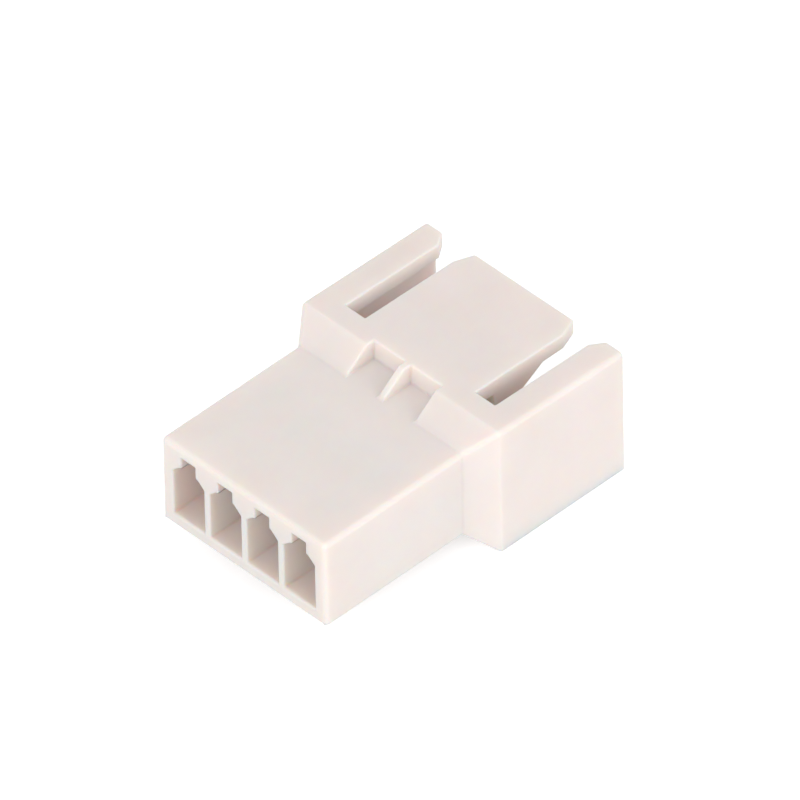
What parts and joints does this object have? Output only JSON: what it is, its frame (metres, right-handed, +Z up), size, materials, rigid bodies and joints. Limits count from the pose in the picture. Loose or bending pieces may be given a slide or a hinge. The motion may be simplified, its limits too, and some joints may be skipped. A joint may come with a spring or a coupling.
{
  "type": "wire to board connector housing",
  "caption": "Moulded crimp connector housing with a row of keyed contact cavities at the back and a hooded mating socket with a slotted latch plate at the front.",
  "frame": {"origin": "middle of the hood's underside plane, centred under the whole housing's length and width", "axes": "+X from the wire entry to the mating mouth, +Y across the row of cavities, +Z up through the latch plate"},
  "size_m": [0.0188, 0.0134, 0.0076],
  "materials": {
    "nylon": "natural off-white nylon, smooth satin, slightly translucent"
  },
  "bodies": {
    "root": {"housing": "nylon"}
  },
  "joints": []
}
